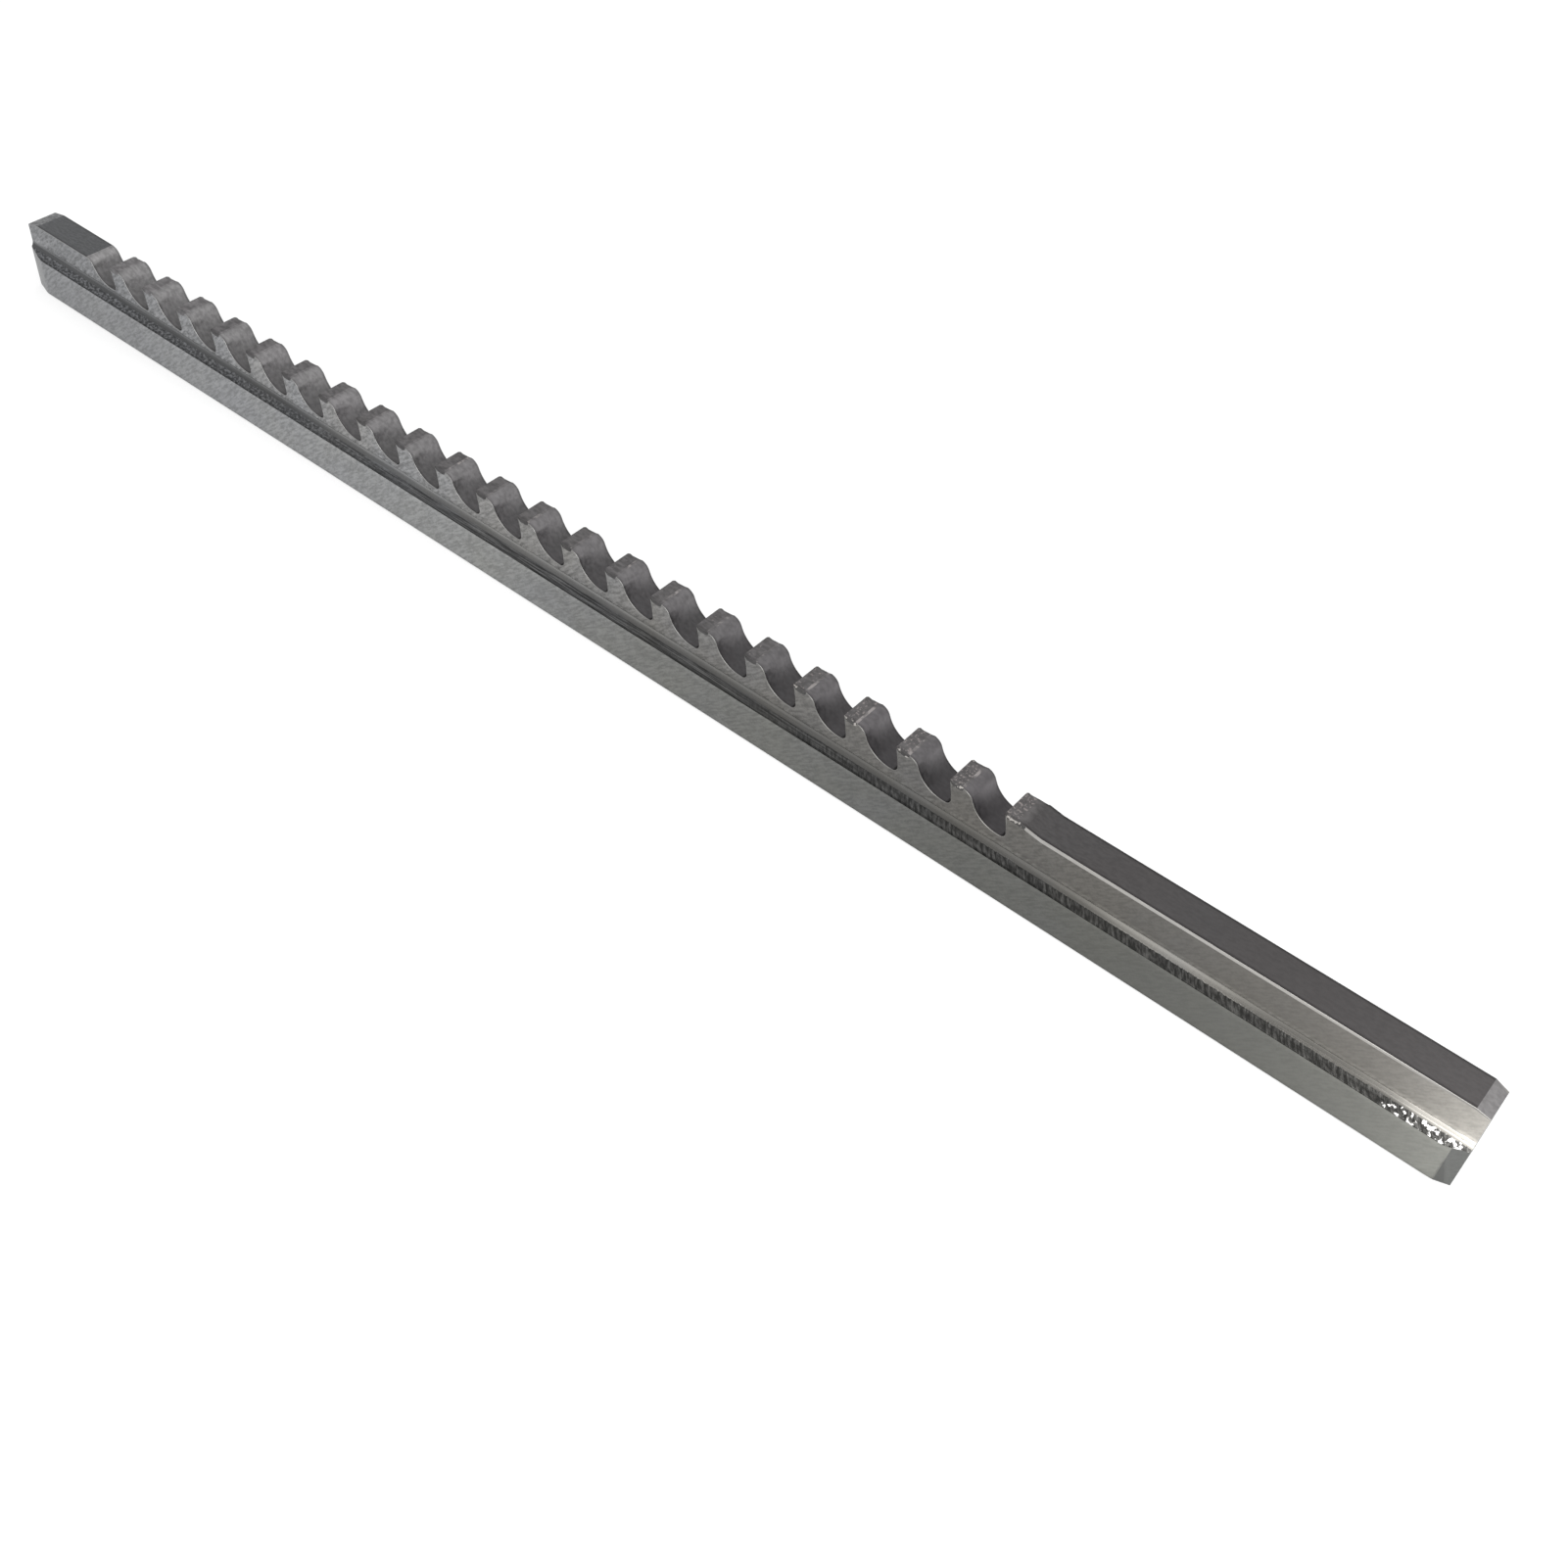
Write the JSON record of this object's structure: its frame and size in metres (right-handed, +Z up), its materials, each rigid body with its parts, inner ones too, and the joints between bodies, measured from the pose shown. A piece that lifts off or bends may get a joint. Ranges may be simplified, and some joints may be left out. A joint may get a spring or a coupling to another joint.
{
  "type": "keyway broach",
  "caption": "Push-type keyway broach: a stepped steel bar with a low pilot, a row of rising teeth with gullets between them, and a plain shank.",
  "frame": {"origin": "centre of the flat back that the broach lies and slides on", "axes": "+X along the bar from the pilot end to the shank end, +Y across it, +Z up through the teeth"},
  "size_m": [0.2984, 0.0096, 0.0155],
  "materials": {
    "ground_steel": "satin ground tool steel, with a rough milled shoulder"
  },
  "bodies": {
    "root": {"keyway_broach": "ground_steel"}
  },
  "joints": []
}
